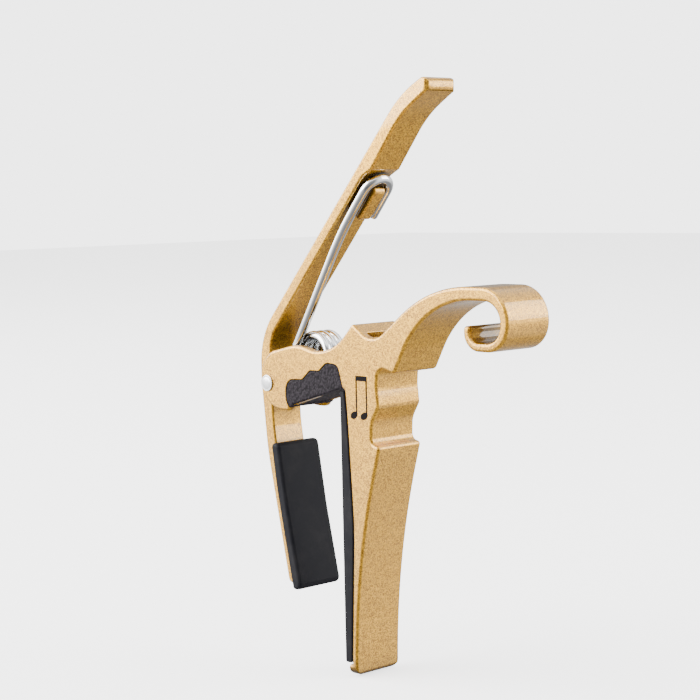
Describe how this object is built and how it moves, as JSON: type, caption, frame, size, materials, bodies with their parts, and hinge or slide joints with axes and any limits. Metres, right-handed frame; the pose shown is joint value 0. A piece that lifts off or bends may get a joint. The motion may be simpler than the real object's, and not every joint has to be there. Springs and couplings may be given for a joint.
{
  "type": "guitar capo",
  "caption": "Spring-clamp capo: a cast body with a rubber-faced string arm and a curled finger hook, and a sprung lever with a padded neck jaw.",
  "frame": {"origin": "middle of the string pad's flat contact face", "axes": "+X out of the string arm's outer face, so the neck lies towards -X; Y across the castings, parallel to the lever's pivot; +Z along the string arm from its tip towards the pivot and the handle"},
  "size_m": [0.0777, 0.0144, 0.1285],
  "materials": {
    "gold_paint": "gold metallic flake paint under a clear gloss coat",
    "bright_steel": "bright plated spring wire and rivet",
    "black_rubber": "smooth black rubber",
    "grey_rubber": "pebbled charcoal rubber"
  },
  "bodies": {
    "body": {"body_frame": "gold_paint", "pivot_rivet": "bright_steel", "string_pad": "black_rubber", "crook_pad": "grey_rubber", "torsion_spring": "bright_steel"},
    "lever": {"spring_lever": "gold_paint", "neck_pad": "black_rubber"}
  },
  "joints": [
    {"name": "lever_pivot", "type": "hinge", "parent": "body", "child": "lever", "pos_m": [-0.0237, 0, 0.03027], "axis": [0, 1, 0], "range_deg": [-14, 26], "stiffness_Nm_per_rad": 1.4, "deforming": ["torsion_spring"]}
  ]
}
